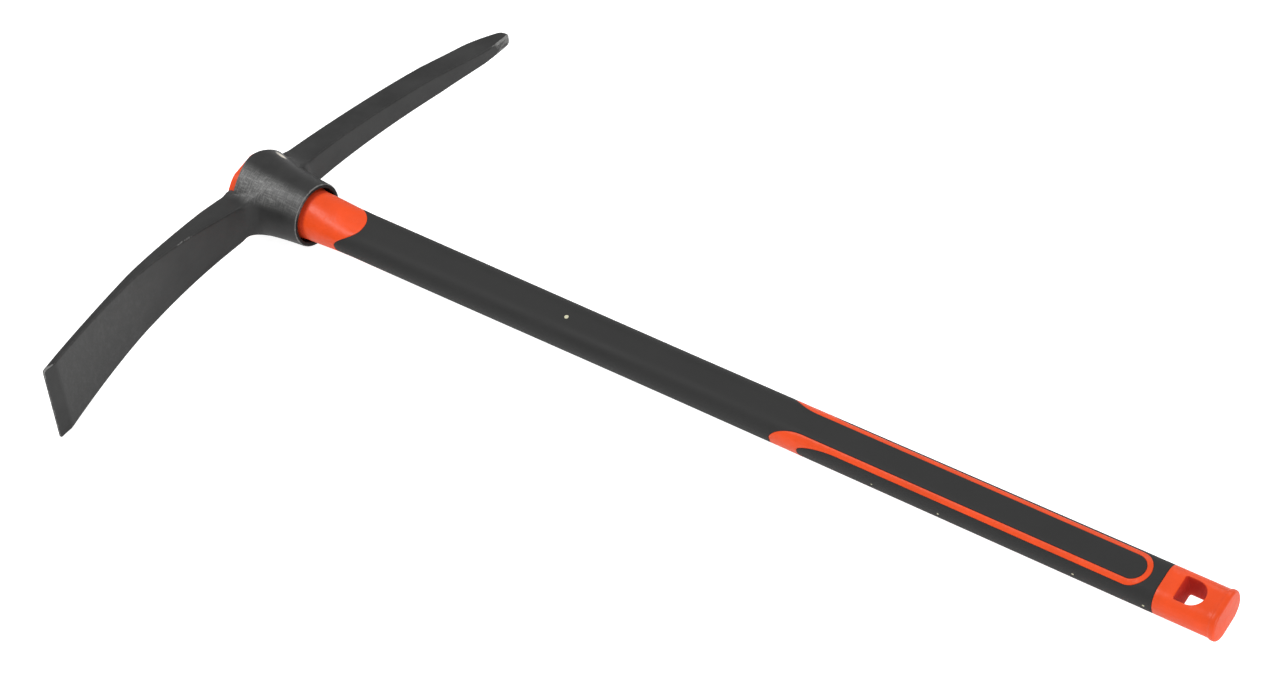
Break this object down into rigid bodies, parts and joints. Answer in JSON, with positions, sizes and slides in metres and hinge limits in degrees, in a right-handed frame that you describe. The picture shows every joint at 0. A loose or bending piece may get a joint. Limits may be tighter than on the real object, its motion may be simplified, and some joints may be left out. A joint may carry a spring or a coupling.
{
  "type": "pickaxe",
  "caption": "Pick mattock: a forged steel head with a pointed arm and a broad-bladed arm on a fibreglass-cored handle with soft sleeves and a hanging hole at the butt.",
  "frame": {"origin": "centre of the flat end face of the butt cap, on the handle's axis", "axes": "+Y along the handle from the butt to the head, +X towards the pick point (the mattock blade is at -X), +Z square to both arms; the tool lies on its side, and the handle's upper broad face faces 14.3 degrees from +Z towards -X"},
  "size_m": [0.5557, 0.902, 0.072],
  "materials": {
    "black_steel": "satin black lacquer, worn grey along the eye",
    "fibreglass": "pultruded fibreglass, pale yellow",
    "orange_plastic": "satin moulded plastic",
    "black_rubber": "matt soft grip, fine grain"
  },
  "bodies": {
    "handle": {"fibreglass_core": "fibreglass", "handle_jacket": "orange_plastic", "shaft_sleeve": "black_rubber", "side_grip": "black_rubber", "butt_cap": "orange_plastic"},
    "head": {"forged_head": "black_steel"}
  },
  "joints": [
    {"name": "head_slide", "type": "slide", "parent": "handle", "child": "head", "axis": [0, -1, 0], "range_m": [0, 0.92]}
  ]
}
